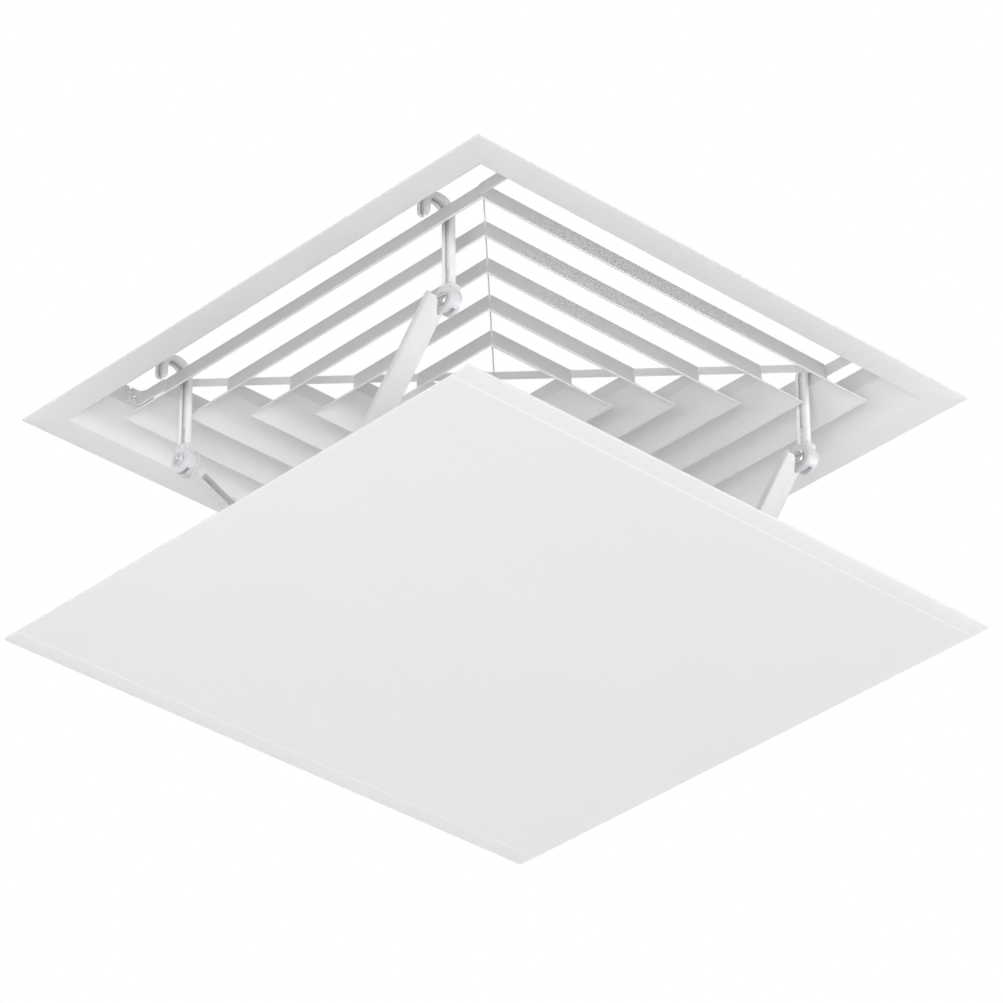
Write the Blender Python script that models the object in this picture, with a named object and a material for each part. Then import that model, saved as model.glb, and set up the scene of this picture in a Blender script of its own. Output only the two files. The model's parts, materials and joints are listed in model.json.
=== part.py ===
"""Square louvred ceiling air diffuser with a hook-on air deflector panel.

Metres, +Z up.  The origin is the centre of the deflector panel's underside.
The ceiling flange is near the top and the panel hangs below it on four hooked,
jointed arms.

Corners are named as seen from above with -Y at the front:
fr = +X -Y, br = +X +Y, fl = -X -Y, bl = -X +Y.
"""

import math

import bmesh
import bpy
from mathutils import Matrix, Vector

# ------------------------------------------------------------------ dimensions (mm)
# FLANGE_Z and the panel's sizes are measured from the origin.  All other heights
# are measured from the flange underside.
MM = 0.001
FLANGE_Z = 231.0
GAP = 0.3                     # clearance between pieces that touch
FOLD_SHIFT = math.tan(math.radians(22.5))  # outer bend shift of a 45 degree fold, per thickness

# signs of x and y, anticlockwise from above; each is a quarter turn from the last
CORNERS = {"fr": (1, -1), "br": (1, 1), "bl": (-1, 1), "fl": (-1, -1)}

# frame: one folded profile, four mitred sides
FRAME_HALF = 595.0 / 2        # 595 mm face for a 600 mm ceiling module
FLANGE_INNER = 268.3          # inner edge of the flat flange
SLOPE_HEIGHT = 25.0           # height of the 45 degree reveal
THROAT_HALF = FLANGE_INNER - SLOPE_HEIGHT  # inner face of the vertical neck
NECK_TOP = 45.0
FRAME_THICK = 1.5
MITRE_GAP = 0.15              # each side of a mitre

# corner cleats behind the neck
CLEAT_THICK = 1.5
CLEAT_LEG = 24.0
CLEAT_LOW, CLEAT_HIGH = 27.0, 44.0

# louvre rings, outermost first: half size at the lower edge
RING_HALVES = (232.6, 192.7, 153.2, 112.9, 73.0)
BLADE_RUN = 25.0              # 45 degree blade: run and rise
BLADE_TOP = 40.0              # top of the upright part
BLADE_THICK = 0.8
HEM_HEIGHT = 4.0              # folded hem along the lower edge
HEM_THICK = 0.8
UPRIGHT_HALF = RING_HALVES[0] - BLADE_RUN  # inner face of ring 1's upright

# two bars on the diagonals that carry the rings
SPINE_THICK = 1.0
SPINE_LOW, SPINE_HIGH = 32.0, BLADE_TOP
SPINE_HALF = UPRIGHT_HALF * math.sqrt(2.0) + 1.0
SPINE_SLOT_EXTRA = 5.0        # slot cutter beyond the bar's ends and the rings' top

# four hanger straps that tie ring 1 to the neck
STRAP_THICK = 2.0
STRAP_INNER = 203.0           # |x| of the rounded inner end
STRAP_LOW, STRAP_HIGH = 28.0, 39.0
STRAP_SLOPE_RUN = 12.0        # length of the top edge that slopes up to the tab
STRAP_TAB_HIGH = 43.0
STRAP_TAB_LENGTH = 13.0
STRAP_TAB_INSET = 0.5         # tab edge inside the web's face
STRAP_Y = UPRIGHT_HALF + BLADE_THICK + GAP  # |y| of the face next to ring 1
NECK_FACE = THROAT_HALF - GAP               # |x| of the tab's outer face

RIVET_RADIUS = 1.6
RIVET_HOLE_RADIUS = 1.9
RIVET_STEPS = 16
RIVET_MIDDLE = STRAP_Y + STRAP_THICK + STRAP_TAB_LENGTH / 2
RIVET_OFFSET = 2.3            # to each side of the middle; the lower is nearer the strap
# (|y|, height) of the lower and the upper rivet
RIVET_PLACES = ((RIVET_MIDDLE - RIVET_OFFSET, 32.2), (RIVET_MIDDLE + RIVET_OFFSET, 39.0))

# deflector panel
PANEL_HALF_X = 296.3
PANEL_HALF_Y = 308.4
PANEL_THICK = 1.6
PANEL_LIP = 20.0              # width of the formed edge along each X side
PANEL_LIP_RISE = 0.6
PANEL_CORNER_RADIUS = 3.0

# hooked rods
ROD_Y = 201.6                 # |y| of the rod plane, between rings 1 and 2
ROD_WIDTH, ROD_THICK, ROD_WEB = 13.0, 4.6, 1.2
ROD_RIB = 2.2
HOOK_RADIUS = 12.0            # inside radius
HOOK_SPRING = 31.8            # height where the hook starts to curve
HOOK_TIP = 22.0
HOOK_STEPS = 14
ROD_END = -60.0
ROD_SLOT_LOW, ROD_SLOT_HIGH = -58.0, -19.0
ROD_SLOT_WIDTH = 4.6

KNUCKLE_Z = -54.0             # pivot of clamp and lower arm
FOOT_Z = -214.0               # pivot on the panel

# clamp, with its screw and nut
CLAMP_HALF_WIDTH = 9.3
CLAMP_CHEEK = 2.2
CLAMP_RADIUS = 12.0
CLAMP_TOP = 16.0              # above the pivot
CLAMP_CHAMFER = 2.0
CLAMP_FACE = ROD_THICK / 2 + GAP + CLAMP_CHEEK  # outer cheek face from the rod plane
SCREW_RADIUS, SCREW_HOLE_RADIUS = 2.0, 2.3
HEAD_RADIUS, HEAD_HEIGHT = 6.0, 3.0
HEAD_CHAMFER_RUN, HEAD_CHAMFER_RISE = 1.4, 1.2
HEAD_SLOT_DEPTH, HEAD_SLOT_HALF = 1.1, 0.7
SCREW_PAST_NUT = 1.5
NUT_RADIUS, NUT_HEIGHT = 5.6, 3.5
NUT_SEAT = CLAMP_FACE + GAP

# lower arms
ARM_ANGLE = math.radians(40.0)  # lean from the vertical
ARM_WIDTH = 22.0
ARM_WALL = 2.0
ARM_WEB = 1.6
ARM_LOW, ARM_LIP = -7.0, -1.0   # web underside and lip edge, from the pivot line
ARM_SIDE_LOW = ARM_LOW + 0.4    # lower edge of both sides, inside the web
ARM_TOP = -4.0                  # top of the plain side, measured along the arm
WEB_START = 13.5                # web's upper edge beside the ear, along the arm
WEB_FOOT_INSET = 12.5           # web's lower edge, short of the foot pivot
WEB_CORNER_RADIUS = 3.0
WEB_SIDE_INSET = 0.5            # web edge inside each outer face
EAR_RADIUS = 13.0
ARM_LENGTH = (KNUCKLE_Z - FOOT_Z) / math.cos(ARM_ANGLE)
ARM_RUN = ARM_LENGTH * math.sin(ARM_ANGLE)
ARM_MID_Y = -(CLAMP_FACE + GAP + ARM_WIDTH / 2)  # arm's middle plane from the rod plane

# feet
FOOT_EAR_RADIUS = 8.0
FOOT_HOLE_RADIUS = 3.4        # slack pivots, so all four feet can find their place
PIN_RADIUS = 2.5
PIN_HOLE_RADIUS = 2.8
BOSS_RADIUS = 7.0
BOSS_HALF_WIDTH = 8.6
BOSS_SINK = 1.5               # boss starts this far above the base's underside
BASE_HALF_X, BASE_HALF_Y = 20.0, 14.0
BASE_CORNER_RADIUS = 4.0
BASE_THICK = 2.0

HOLE_STEPS = 24               # segments of screw and pin holes

# corner: (x, y) of the knuckle; arms at -X are turned half a turn
ARMS = {
    "fr": (158.0, -ROD_Y),
    "br": (186.0, ROD_Y),
    "fl": (-186.0, -ROD_Y),
    "bl": (-158.0, ROD_Y),
}
PANEL_PIVOT = (ARMS["fr"][0] - ARM_RUN, 0.0, FLANGE_Z + FOOT_Z)

EMPTY_SIZE = 20.0


# ------------------------------------------------------------------ meshes
def to_mesh(name, draft):
    """Finish a bmesh whose units are mm as a mesh in metres, faces outward."""
    bmesh.ops.recalc_face_normals(draft, faces=draft.faces)
    bmesh.ops.scale(draft, vec=(MM, MM, MM), verts=draft.verts)
    mesh = bpy.data.meshes.new(name)
    draft.to_mesh(mesh)
    draft.free()
    return mesh


def prism(name, outline, low, high, place):
    """Extrude a closed 2-D outline; place(first, second, depth) gives the 3-D point."""
    draft = bmesh.new()
    base = draft.faces.new([draft.verts.new(place(*point, low)) for point in outline])
    top = bmesh.ops.extrude_face_region(draft, geom=[base])
    moved = [item for item in top["geom"] if isinstance(item, bmesh.types.BMVert)]
    step = Vector(place(0, 0, high)) - Vector(place(0, 0, low))
    bmesh.ops.translate(draft, vec=step, verts=moved)
    return to_mesh(name, draft)


def along_x(y, z, depth):
    return (depth, y, z)


def along_y(x, z, depth):
    return (x, depth, z)


def along_z(x, y, depth):
    return (x, y, depth)


def box(name, x_range, y_range, z_range):
    (x0, x1), (y0, y1) = x_range, y_range
    return prism(name, [(x0, y0), (x1, y0), (x1, y1), (x0, y1)], *z_range, along_z)


def arc(centre_x, centre_y, radius, start, end, steps):
    """Points on an arc, angles in degrees, both ends included."""
    points = []
    for i in range(steps + 1):
        angle = math.radians(start + (end - start) * i / steps)
        points.append((centre_x + radius * math.cos(angle),
                       centre_y + radius * math.sin(angle)))
    return points


def circle(radius, steps):
    return arc(0.0, 0.0, radius, 0.0, 360.0, steps)[:-1]


def rounded_rectangle(half_x, half_y, radius, steps):
    x, y = half_x - radius, half_y - radius
    return (
        arc(x, y, radius, 0, 90, steps) + arc(-x, y, radius, 90, 180, steps)
        + arc(-x, -y, radius, 180, 270, steps) + arc(x, -y, radius, 270, 360, steps)
    )


def loft(name, rows, closed=False):
    """Join rows of 3-D points in order; an open loft gets a cap at each end."""
    draft = bmesh.new()
    loops = [[draft.verts.new(point) for point in row] for row in rows]
    pairs = list(zip(loops, loops[1:]))
    if closed:
        pairs.append((loops[-1], loops[0]))
    count = len(loops[0])
    for start, end in pairs:
        for i in range(count):
            j = (i + 1) % count
            draft.faces.new((start[i], start[j], end[j], end[i]))
    if not closed:
        draft.faces.new(loops[0])
        draft.faces.new(list(reversed(loops[-1])))
    return to_mesh(name, draft)


def smooth_round(mesh, sharp_angle=30.0):
    mesh.shade_smooth()
    mesh.set_sharp_from_angle(angle=math.radians(sharp_angle))
    return mesh


def turned(name, profile, steps):
    """Revolve (radius, y) points about local Y; the ends lie on the axis."""
    draft = bmesh.new()
    rows = []
    for radius, y in profile:
        ring = circle(radius, steps) if radius > 0.0 else [(0.0, 0.0)]
        rows.append([draft.verts.new((x, y, z)) for x, z in ring])
    for start, end in zip(rows, rows[1:]):
        for i in range(steps):
            j = (i + 1) % steps
            if len(start) == 1:
                draft.faces.new((start[0], end[i], end[j]))
            elif len(end) == 1:
                draft.faces.new((start[i], start[j], end[0]))
            else:
                draft.faces.new((start[i], start[j], end[j], end[i]))
    return smooth_round(to_mesh(name, draft), sharp_angle=35.0)


def placed(x, y, z, turn=0.0):
    """Matrix for a tool: position in mm, turn about Z in radians."""
    return Matrix.Translation((x * MM, y * MM, z * MM)) @ Matrix.Rotation(turn, 4, "Z")


def cut(mesh, matrix=Matrix.Identity(4)):
    return ("DIFFERENCE", mesh, matrix)


def fuse(mesh):
    return ("UNION", mesh, Matrix.Identity(4))


def carve(name, base, steps):
    """Apply boolean steps, each made by cut() or fuse(), to base in order."""
    scene = bpy.context.scene.collection
    body = bpy.data.objects.new(name + "_blank", base)
    scene.objects.link(body)
    tools = []
    for i, (operation, mesh, matrix) in enumerate(steps):
        tool = bpy.data.objects.new(f"{name}_tool{i}", mesh)
        tool.matrix_world = matrix
        tool.hide_render = True
        scene.objects.link(tool)
        tools.append(tool)
        modifier = body.modifiers.new(f"cut{i}", "BOOLEAN")
        modifier.operation = operation
        modifier.solver = "EXACT"
        modifier.object = tool
    bpy.context.view_layer.update()
    graph = bpy.context.evaluated_depsgraph_get()
    mesh = bpy.data.meshes.new_from_object(body.evaluated_get(graph))
    mesh.name = name
    for obj in [body, *tools]:
        bpy.data.objects.remove(obj, do_unlink=True)
    return mesh


# ------------------------------------------------------------------ scene
def clear_scene():
    for obj in list(bpy.data.objects):
        bpy.data.objects.remove(obj, do_unlink=True)


def material(name, colour, roughness, metallic):
    mat = bpy.data.materials.new(name)
    mat.use_nodes = True
    shader = mat.node_tree.nodes["Principled BSDF"]
    shader.inputs["Base Color"].default_value = (*colour, 1.0)
    shader.inputs["Roughness"].default_value = roughness
    shader.inputs["Metallic"].default_value = metallic
    mat.diffuse_color = (*colour, 1.0)
    return mat


def empty(name, location, turn=0.0):
    """A parent for pieces; location in mm, turn about Z in radians."""
    guide = bpy.data.objects.new(name, None)
    guide.empty_display_size = EMPTY_SIZE * MM
    guide.location = [value * MM for value in location]
    guide.rotation_euler = (0.0, 0.0, turn)
    bpy.context.scene.collection.objects.link(guide)
    return guide


def put(name, mesh, mat, parent, location=(0.0, 0.0, 0.0), turn=0.0):
    """One finished piece; location in mm, turn about Z in radians."""
    obj = bpy.data.objects.new(name, mesh)
    # several pieces may share a mesh, which takes its material only once
    if not mesh.materials:
        mesh.materials.append(mat)
    obj.parent = parent
    obj.location = [value * MM for value in location]
    obj.rotation_euler = (0.0, 0.0, turn)
    bpy.context.scene.collection.objects.link(obj)


# ------------------------------------------------------------------ frame
def frame_side():
    """The side at -Y: flange, 45 degree reveal and neck in one folded section."""
    shift = FRAME_THICK * FOLD_SHIFT
    # (distance from the centre, height)
    section = [
        (FRAME_HALF, 0.0),
        (FLANGE_INNER, 0.0),
        (THROAT_HALF, SLOPE_HEIGHT),
        (THROAT_HALF, NECK_TOP),
        (THROAT_HALF + FRAME_THICK, NECK_TOP),
        (THROAT_HALF + FRAME_THICK, SLOPE_HEIGHT + shift),
        (FLANGE_INNER + shift, FRAME_THICK),
        (FRAME_HALF, FRAME_THICK),
    ]
    ends = [[(side * (half - MITRE_GAP), -half, z) for half, z in section]
            for side in (-1, 1)]
    return loft("frame_side", ends)


def rivet_hole(name):
    return prism(name, circle(RIVET_HOLE_RADIUS, RIVET_STEPS), -4.0, 4.0, along_x)


def pierced_frame_side(side):
    """A copy of the -Y side with the holes for the rivets of two straps."""
    hole = rivet_hole("rivet_hole")
    wall_middle = THROAT_HALF + FRAME_THICK / 2
    return carve("frame_side_pierced", side.copy(), [
        cut(hole, placed(sign * y, -wall_middle, z, turn=math.radians(90)))
        for sign in (-1, 1)
        for y, z in RIVET_PLACES
    ])


def build_frame(white, root):
    plain = frame_side()
    # the straps are riveted only to the two sides whose neck faces along X
    pierced = pierced_frame_side(plain)
    sides = (("front", plain), ("right", pierced), ("back", plain), ("left", pierced))
    for i, (name, mesh) in enumerate(sides):
        put("frame_side_" + name, mesh, white, root, turn=math.radians(90 * i))


def build_corner_cleats(steel, root):
    """Angles behind the neck, modelled at the +X -Y corner."""
    inner = THROAT_HALF + FRAME_THICK + GAP
    outer = inner + CLEAT_THICK
    leg_end = outer - CLEAT_LEG
    outline = [
        (outer, -outer), (outer, -leg_end), (inner, -leg_end),
        (inner, -inner), (leg_end, -inner), (leg_end, -outer),
    ]
    cleat = prism("corner_cleat", outline, CLEAT_LOW, CLEAT_HIGH, along_z)
    for i, corner in enumerate(CORNERS):
        put("corner_cleat_" + corner, cleat, steel, root, turn=math.radians(90 * i))


# ------------------------------------------------------------------ louvre core
def ring_blank(number, half):
    """Square ring: 45 degree blade, folded hem below, upright flange above."""
    shift = BLADE_THICK * FOLD_SHIFT
    upright = half - BLADE_RUN
    # outer faces of blade and hem; thicknesses are measured level, on the slope
    blade_outer = half + BLADE_THICK * math.sqrt(2.0)
    hem_outer = blade_outer + HEM_THICK * math.sqrt(2.0)
    # (half size, height)
    profile = [
        (half, 0.0),
        (upright, BLADE_RUN),
        (upright, BLADE_TOP),
        (upright + BLADE_THICK, BLADE_TOP),
        (upright + BLADE_THICK, BLADE_RUN + shift),
        (blade_outer - HEM_HEIGHT, HEM_HEIGHT),
        (hem_outer - HEM_HEIGHT, HEM_HEIGHT),
        (hem_outer, 0.0),
    ]
    rows = [[(x_sign * size, y_sign * size, z) for size, z in profile]
            for x_sign, y_sign in CORNERS.values()]
    return loft(f"ring_blank_{number}", rows, closed=True)


def build_louvre_rings(white, root):
    reach = SPINE_HALF + SPINE_SLOT_EXTRA
    half_slot = SPINE_THICK / 2 + GAP
    slot = box("spine_slot", (-reach, reach), (-half_slot, half_slot),
               (SPINE_LOW - GAP, BLADE_TOP + SPINE_SLOT_EXTRA))
    slots = [cut(slot, placed(0, 0, 0, turn=math.radians(angle))) for angle in (45, -45)]
    for number, half in enumerate(RING_HALVES, start=1):
        name = f"louvre_ring_{number}"
        put(name, carve(name, ring_blank(number, half), slots), white, root)


def build_spine_bars(white, root):
    """Two diagonal bars that cross in a half-lap at the centre."""
    middle = (SPINE_LOW + SPINE_HIGH) / 2
    notch = SPINE_THICK / 2 + GAP
    notched_above = [
        (-SPINE_HALF, SPINE_LOW), (SPINE_HALF, SPINE_LOW), (SPINE_HALF, SPINE_HIGH),
        (notch, SPINE_HIGH), (notch, middle - GAP / 2),
        (-notch, middle - GAP / 2), (-notch, SPINE_HIGH), (-SPINE_HALF, SPINE_HIGH),
    ]
    notched_below = [
        (-SPINE_HALF, SPINE_LOW), (-notch, SPINE_LOW), (-notch, middle + GAP / 2),
        (notch, middle + GAP / 2), (notch, SPINE_LOW), (SPINE_HALF, SPINE_LOW),
        (SPINE_HALF, SPINE_HIGH), (-SPINE_HALF, SPINE_HIGH),
    ]
    for name, outline, angle in (("spine_bar_a", notched_above, 45),
                                 ("spine_bar_b", notched_below, -45)):
        bar = prism(name, outline, -SPINE_THICK / 2, SPINE_THICK / 2, along_y)
        put(name, bar, white, root, turn=math.radians(angle))


# ------------------------------------------------------------------ hanger straps
def hanger_strap():
    """The +X +Y strap: runs along X beside ring 1, with a taller tab on the neck."""
    radius = (STRAP_HIGH - STRAP_LOW) / 2
    web_outline = (
        arc(STRAP_INNER + radius, (STRAP_LOW + STRAP_HIGH) / 2, radius, 270, 90, 10)
        + [(NECK_FACE - STRAP_SLOPE_RUN, STRAP_HIGH), (NECK_FACE, STRAP_TAB_HIGH),
           (NECK_FACE, STRAP_LOW)]
    )
    web = prism("strap_web", web_outline, STRAP_Y, STRAP_Y + STRAP_THICK, along_y)
    tab_start = STRAP_Y + STRAP_TAB_INSET
    tab_end = STRAP_Y + STRAP_THICK + STRAP_TAB_LENGTH
    tab_outline = [(tab_start, STRAP_LOW), (tab_end, STRAP_LOW),
                   (tab_end, STRAP_TAB_HIGH), (tab_start, STRAP_TAB_HIGH)]
    tab = prism("strap_tab", tab_outline, NECK_FACE - STRAP_THICK, NECK_FACE, along_x)
    hole = rivet_hole("strap_hole")
    holes = [cut(hole, placed(NECK_FACE - STRAP_THICK / 2, y, z)) for y, z in RIVET_PLACES]
    return carve("hanger_strap", web, [fuse(tab), *holes])


def mirrored_strap(strap):
    """The +X -Y strap."""
    mirrored = strap.copy()
    draft = bmesh.new()
    draft.from_mesh(mirrored)
    bmesh.ops.scale(draft, vec=(1, -1, 1), verts=draft.verts)
    bmesh.ops.reverse_faces(draft, faces=draft.faces)
    draft.to_mesh(mirrored)
    draft.free()
    mirrored.name = "hanger_strap_hand"
    return mirrored


def build_straps(white, root):
    strap = hanger_strap()
    mirrored = mirrored_strap(strap)
    for corner, (x_sign, y_sign) in CORNERS.items():
        mesh = strap if x_sign == y_sign else mirrored
        turn = 0.0 if x_sign > 0 else math.pi
        put("hanger_strap_" + corner, mesh, white, root, turn=turn)


def build_rivets(steel, root):
    """Blind rivets: domed head inside the throat, formed tail behind the neck."""
    inside = NECK_FACE - STRAP_THICK - GAP
    span = THROAT_HALF + FRAME_THICK + GAP - inside
    # (radius, distance outward from the head's seat)
    profile = [
        (0.0, -1.2), (1.4, -1.0), (2.5, -0.5), (3.0, 0.0), (RIVET_RADIUS, 0.0),
        (RIVET_RADIUS, span), (2.5, span), (2.3, span + 1.2), (0.0, span + 1.5),
    ]
    rivet = turned("strap_rivet", profile, RIVET_STEPS)
    for corner, (x_sign, y_sign) in CORNERS.items():
        for level, (y, z) in zip(("lower", "upper"), RIVET_PLACES):
            # local +Y of the turned shape points outward through the wall
            put(f"strap_rivet_{corner}_{level}", rivet, steel, root,
                location=(x_sign * inside, y_sign * y, z), turn=-x_sign * math.pi / 2)


# ------------------------------------------------------------------ panel
def build_panel(plastic, panel_base):
    """Flat sheet with a shallow formed edge along both X sides, rounded corners."""
    edge = PANEL_HALF_X
    fold = PANEL_HALF_X - PANEL_LIP
    rise = PANEL_LIP_RISE
    # (x, height above the origin)
    section = [
        (-edge, rise), (-fold, 0.0), (fold, 0.0), (edge, rise),
        (edge, rise + PANEL_THICK), (fold, PANEL_THICK),
        (-fold, PANEL_THICK), (-edge, rise + PANEL_THICK),
    ]
    sheet = prism("panel_blank", section, -PANEL_HALF_Y, PANEL_HALF_Y, along_y)
    # a frame of waste with the rounded outline as its hole, cut away from the sheet
    margin = 20
    waste_x, waste_y = PANEL_HALF_X + margin, PANEL_HALF_Y + margin
    block = box("panel_waste", (-waste_x, waste_x), (-waste_y, waste_y), (-10, 20))
    outline = rounded_rectangle(PANEL_HALF_X, PANEL_HALF_Y, PANEL_CORNER_RADIUS, 8)
    core = prism("panel_core", outline, -15, 25, along_z)
    waste = carve("panel_waste_ring", block, [cut(core)])
    mesh = carve("deflector_panel", sheet, [cut(waste)])
    # the panel's origin is on the foot pivot line
    mesh.transform(Matrix.Translation(-panel_base.location))
    put("deflector_panel", mesh, plastic, panel_base)


# ------------------------------------------------------------------ arms
# Rod, clamp, screw, nut and lower arm have the knuckle pivot as their origin.
def rod_section():
    """Two ribs joined by a thin web: (across the rod, through the rod)."""
    edge, face, web = ROD_WIDTH / 2, ROD_THICK / 2, ROD_WEB / 2
    rib = edge - ROD_RIB
    return [
        (-edge, -face), (-rib, -face), (-rib, -web), (rib, -web), (rib, -face), (edge, -face),
        (edge, face), (rib, face), (rib, web), (-rib, web), (-rib, face), (-edge, face),
    ]


def hook_rod(name, lean):
    """Rod whose hook curls towards lean * Y."""
    bend = HOOK_RADIUS + ROD_THICK / 2
    spring = HOOK_SPRING - KNUCKLE_Z
    # stations: (y, z, angle turned through)
    path = [(0.0, ROD_END - KNUCKLE_Z, 0.0), (0.0, spring, 0.0)]
    for i in range(1, HOOK_STEPS + 1):
        angle = math.pi * i / HOOK_STEPS
        path.append((bend - bend * math.cos(angle), spring + bend * math.sin(angle), angle))
    path.append((2 * bend, HOOK_TIP - KNUCKLE_Z, math.pi))
    rows = [
        [(across, lean * (y + through * math.cos(angle)), z - through * math.sin(angle))
         for across, through in rod_section()]
        for y, z, angle in path
    ]
    blank = loft(name + "_blank", rows)
    radius = ROD_SLOT_WIDTH / 2
    outline = (
        arc(0, ROD_SLOT_LOW - KNUCKLE_Z + radius, radius, 180, 360, 8)
        + arc(0, ROD_SLOT_HIGH - KNUCKLE_Z - radius, radius, 0, 180, 8)
    )
    slot = prism(name + "_slot", outline, -4, 4, along_y)
    return smooth_round(carve(name, blank, [cut(slot)]))


def rod_clamp():
    """Sleeve round the rod with a rounded lower end about the pivot."""
    edge, bevel = CLAMP_HALF_WIDTH, CLAMP_CHAMFER
    lift = math.degrees(math.acos(edge / CLAMP_RADIUS))
    outline = arc(0, 0, CLAMP_RADIUS, 180 - lift, 360 + lift, 24) + [
        (edge, CLAMP_TOP - bevel), (edge - bevel, CLAMP_TOP),
        (-edge + bevel, CLAMP_TOP), (-edge, CLAMP_TOP - bevel),
    ]
    blank = prism("clamp_blank", outline, -CLAMP_FACE, CLAMP_FACE, along_y)
    half_x, half_y = ROD_WIDTH / 2 + GAP, ROD_THICK / 2 + GAP
    channel = box("clamp_channel", (-half_x, half_x), (-half_y, half_y), (-40, 40))
    hole = prism("clamp_hole", circle(SCREW_HOLE_RADIUS, HOLE_STEPS), -10, 10, along_y)
    return smooth_round(carve("rod_clamp", blank, [cut(channel), cut(hole)]))


def foot_end():
    """Rounded foot end of an arm side, from its lower edge to its lip."""
    start = 180 + math.degrees(math.asin(-ARM_SIDE_LOW / FOOT_EAR_RADIUS))
    end = 540 + math.degrees(math.asin(-ARM_LIP / FOOT_EAR_RADIUS))
    return arc(ARM_LENGTH, 0, FOOT_EAR_RADIUS, start, end, 22)


def ear_outline():
    """Side of the arm with both ears, (along the arm, away from the web)."""
    start = math.degrees(math.asin(ARM_LIP / EAR_RADIUS))
    end = 360 + math.degrees(math.asin(ARM_SIDE_LOW / EAR_RADIUS))
    return arc(0, 0, EAR_RADIUS, start, end, 28) + foot_end()


def plain_side_outline():
    """Side without the knuckle ear; its rounded top passes beside the axis."""
    radius = (ARM_LIP - ARM_SIDE_LOW) / 2
    return arc(ARM_TOP + radius, ARM_SIDE_LOW + radius, radius, 90, 270, 10) + foot_end()


def web_outline(far, near):
    """Plan of the arm's web between its outer faces, (along the arm, y)."""
    y_far, y_near = far + WEB_SIDE_INSET, near - WEB_SIDE_INSET
    radius = WEB_CORNER_RADIUS
    foot_x = ARM_LENGTH - WEB_FOOT_INSET - radius
    # the top edge slopes up from the ear to the plain side, clear of the screw head
    return (
        arc(foot_x, y_far + radius, radius, 270, 360, 5)
        + arc(foot_x, y_near - radius, radius, 0, 90, 5)
        + arc(WEB_START + radius, y_near - radius, radius, 90, 180, 5)
        + [(WEB_START, y_near - 5.0), (ARM_TOP + 6.0, y_far + 10.0),
           (ARM_TOP + 4.0, y_far + 7.0), (ARM_TOP + 4.0, y_far)]
    )


def lower_arm():
    """Tilted channel from the knuckle down to the foot."""
    sine, cosine = math.sin(ARM_ANGLE), math.cos(ARM_ANGLE)

    def tilt_side(along, above, y):
        return (-sine * along - cosine * above, y, -cosine * along + sine * above)

    def tilt_plan(along, y, above):
        return tilt_side(along, above, y)

    # the ear side is the one nearer the rod
    near, far = ARM_MID_Y + ARM_WIDTH / 2, ARM_MID_Y - ARM_WIDTH / 2
    ear = prism("arm_ear_side", ear_outline(), near - ARM_WALL, near, tilt_side)
    plain = prism("arm_plain_side", plain_side_outline(), far, far + ARM_WALL, tilt_side)
    web = prism("arm_web", web_outline(far, near), ARM_LOW, ARM_LOW + ARM_WEB, tilt_plan)
    knuckle = prism("arm_knuckle_hole", circle(SCREW_HOLE_RADIUS, HOLE_STEPS),
                    -12, 12, along_y)
    foot = prism("arm_foot_hole", circle(FOOT_HOLE_RADIUS, HOLE_STEPS), -60, 20, along_y)
    return smooth_round(carve("lower_arm", ear, [
        fuse(web),
        fuse(plain),
        cut(knuckle),
        cut(foot, placed(-ARM_RUN, 0, FOOT_Z - KNUCKLE_Z)),
    ]))


def clamp_screw():
    """Slotted round head against the ear, shank through clamp, rod and nut."""
    seat = -(CLAMP_FACE + GAP + ARM_WALL + GAP)
    head = seat - HEAD_HEIGHT
    end = NUT_SEAT + NUT_HEIGHT + SCREW_PAST_NUT
    # (radius, y)
    profile = [
        (0.0, head), (HEAD_RADIUS - HEAD_CHAMFER_RUN, head),
        (HEAD_RADIUS, head + HEAD_CHAMFER_RISE), (HEAD_RADIUS, seat),
        (SCREW_RADIUS, seat), (SCREW_RADIUS, end - 0.6),
        (SCREW_RADIUS - 0.5, end), (0.0, end),
    ]
    blank = turned("screw_blank", profile, 24)
    slot = box("screw_slot", (-10, 10), (head - 1, head + HEAD_SLOT_DEPTH),
               (-HEAD_SLOT_HALF, HEAD_SLOT_HALF))
    return smooth_round(carve("clamp_screw", blank, [cut(slot)]), sharp_angle=35.0)


def clamp_nut():
    """Hexagonal nut on the far cheek."""
    blank = prism("nut_blank", circle(NUT_RADIUS, 6), NUT_SEAT, NUT_SEAT + NUT_HEIGHT, along_y)
    hole = prism("nut_hole", circle(SCREW_HOLE_RADIUS, HOLE_STEPS), 0, 20, along_y)
    return smooth_round(carve("clamp_nut", blank, [cut(hole)]), sharp_angle=35.0)


def foot_bracket():
    """Base plate with an upright boss, pivot at the local origin."""
    panel_drop = FOOT_Z + FLANGE_Z - PANEL_THICK  # pivot above the panel's top
    low = -panel_drop + GAP
    boss_outline = arc(0, 0, BOSS_RADIUS, 0, 180, 16) + [
        (-BOSS_RADIUS, low + BOSS_SINK), (BOSS_RADIUS, low + BOSS_SINK),
    ]
    boss = prism("foot_boss", boss_outline, -BOSS_HALF_WIDTH, BOSS_HALF_WIDTH, along_y)
    base_outline = rounded_rectangle(BASE_HALF_X, BASE_HALF_Y, BASE_CORNER_RADIUS, 5)
    base = prism("foot_base", base_outline, low, low + BASE_THICK, along_z)
    hole = prism("foot_hole", circle(PIN_HOLE_RADIUS, HOLE_STEPS), -15, 15, along_y)
    return smooth_round(carve("foot_bracket", base, [fuse(boss), cut(hole)]))


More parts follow.
